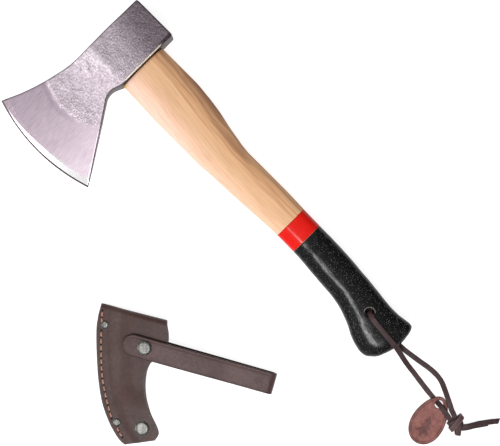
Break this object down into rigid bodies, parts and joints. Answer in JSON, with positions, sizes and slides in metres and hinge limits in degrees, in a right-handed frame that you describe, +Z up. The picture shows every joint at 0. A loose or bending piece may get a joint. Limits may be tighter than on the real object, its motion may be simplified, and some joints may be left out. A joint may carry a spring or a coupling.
{
  "type": "hatchet",
  "caption": "Hatchet with a forged head wedged on a curved ash haft, dipped grip, leather lanyard with a tag, and its stitched leather blade cover lying beside it",
  "frame": {"origin": "bottom centre of the box round the hatchet and its cover, on the surface that they lie on", "axes": "+X along the haft from the head to the knob, +Y from the cutting edge to the poll, +Z up through the hatchet's flat side"},
  "size_m": [0.4916, 0.2734, 0.027],
  "materials": {
    "forged_steel": "forged and shot blasted at the eye, ground towards the edge",
    "fastener_steel": "plain turned steel",
    "nickel": "satin nickel plating",
    "ash": "fine sanded and oiled ash",
    "red_paint": "glossy paint",
    "black_coat": "rough dipped coating",
    "lace_leather": "dark brown rawhide lace",
    "tag_leather": "reddish brown vegetable tanned leather",
    "cover_leather": "dark brown smooth leather, burnished edges",
    "waxed_thread": "waxed linen thread"
  },
  "bodies": {
    "hatchet": {"axe_head": "forged_steel", "haft": "ash", "wood_wedge": "ash", "ring_wedge": "fastener_steel", "red_band": "red_paint", "grip_coat": "black_coat", "lanyard_front_leg": "lace_leather", "lanyard_back_leg": "lace_leather", "lanyard_knot": "lace_leather", "lanyard_long_tail": "lace_leather", "lanyard_short_tail": "lace_leather"},
    "tag": {"leather_tag": "tag_leather"},
    "sheath": {"sheath_pocket": "cover_leather", "sheath_welt": "cover_leather", "strap_rear": "cover_leather", "seam_thread_toe": "waxed_thread", "seam_thread_middle": "waxed_thread", "seam_thread_heel": "waxed_thread", "toe_rivet_cap": "nickel", "toe_rivet_post": "nickel", "heel_rivet_cap": "nickel", "heel_rivet_post": "nickel", "heel_snap_cap": "nickel", "heel_snap_socket": "nickel", "heel_snap_stud": "nickel", "heel_snap_post": "nickel", "strap_snap_stud": "nickel", "strap_snap_post": "nickel", "strap_rivet_cap": "nickel", "strap_rivet_post": "nickel"},
    "strap": {"strap_front": "cover_leather", "strap_snap_cap": "nickel", "strap_snap_socket": "nickel"}
  },
  "joints": [
    {"name": "tag_swing", "type": "hinge", "parent": "hatchet", "child": "tag", "pos_m": [0.2522, 0.07616, 0.0039], "axis": [0, 0, 1], "range_deg": [-35, 0]},
    {"name": "sheath_clear", "type": "slide", "parent": "hatchet", "child": "sheath", "axis": [0, -1, 0], "range_m": [0, 0.1]},
    {"name": "strap_open", "type": "hinge", "parent": "sheath", "child": "strap", "pos_m": [0.14095, -0.01041, 0.0064], "axis": [-0.4848, 0.8746, 0], "range_deg": [0, 70]}
  ]
}
